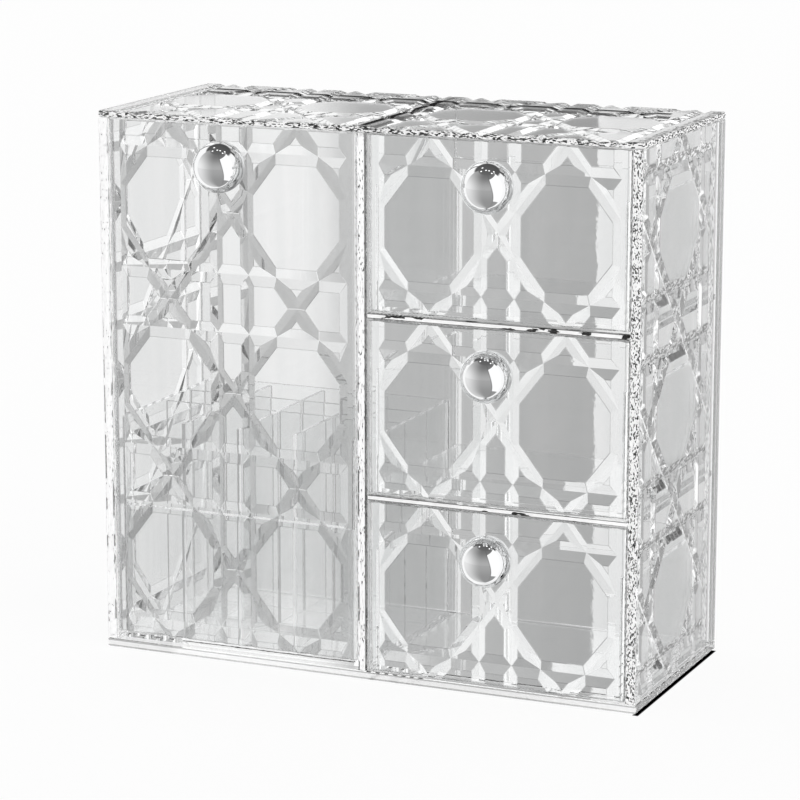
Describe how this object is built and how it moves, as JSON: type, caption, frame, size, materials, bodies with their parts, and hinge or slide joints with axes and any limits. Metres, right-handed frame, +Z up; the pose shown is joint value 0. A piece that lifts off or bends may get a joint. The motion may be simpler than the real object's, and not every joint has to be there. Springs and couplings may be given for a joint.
{
  "type": "acrylic makeup organizer with drawers",
  "caption": "Clear acrylic drawer organizer for makeup with a moulded cane-weave relief, a tall divided brush drawer beside a stack of small drawers, and chrome ball knobs.",
  "frame": {"origin": "centre of the base panel's underside", "axes": "+Z up, the fronts and knobs face -Y, the tall drawer is on the -X side"},
  "size_m": [0.27, 0.1369, 0.2602],
  "materials": {
    "clear_acrylic": "clear, polished and moulded with sharp facets",
    "polished_chrome": "mirror polished",
    "screw_steel": "plain zinc plated"
  },
  "bodies": {
    "case": {"top_panel": "clear_acrylic", "base_panel": "clear_acrylic", "back_panel": "clear_acrylic", "centre_partition": "clear_acrylic", "left_side_panel": "clear_acrylic", "right_side_panel": "clear_acrylic", "lower_shelf": "clear_acrylic", "upper_shelf": "clear_acrylic"},
    "tall_drawer": {"tall_drawer_front": "clear_acrylic", "tall_drawer_tray": "clear_acrylic", "tall_drawer_knob": "polished_chrome", "tall_drawer_knob_screw": "screw_steel", "long_divider_1": "clear_acrylic", "long_divider_2": "clear_acrylic", "long_divider_3": "clear_acrylic", "cross_divider_1": "clear_acrylic", "cross_divider_2": "clear_acrylic"},
    "bottom_drawer": {"bottom_drawer_front": "clear_acrylic", "bottom_drawer_tray": "clear_acrylic", "bottom_drawer_knob": "polished_chrome", "bottom_drawer_knob_screw": "screw_steel"},
    "middle_drawer": {"middle_drawer_front": "clear_acrylic", "middle_drawer_tray": "clear_acrylic", "middle_drawer_knob": "polished_chrome", "middle_drawer_knob_screw": "screw_steel"},
    "top_drawer": {"top_drawer_front": "clear_acrylic", "top_drawer_tray": "clear_acrylic", "top_drawer_knob": "polished_chrome", "top_drawer_knob_screw": "screw_steel"}
  },
  "joints": [
    {"name": "tall_drawer_slide", "type": "slide", "parent": "case", "child": "tall_drawer", "axis": [0, -1, 0], "range_m": [0, 0.085]},
    {"name": "bottom_drawer_slide", "type": "slide", "parent": "case", "child": "bottom_drawer", "axis": [0, -1, 0], "range_m": [0, 0.085]},
    {"name": "middle_drawer_slide", "type": "slide", "parent": "case", "child": "middle_drawer", "axis": [0, -1, 0], "range_m": [0, 0.085]},
    {"name": "top_drawer_slide", "type": "slide", "parent": "case", "child": "top_drawer", "axis": [0, -1, 0], "range_m": [0, 0.085]}
  ]
}
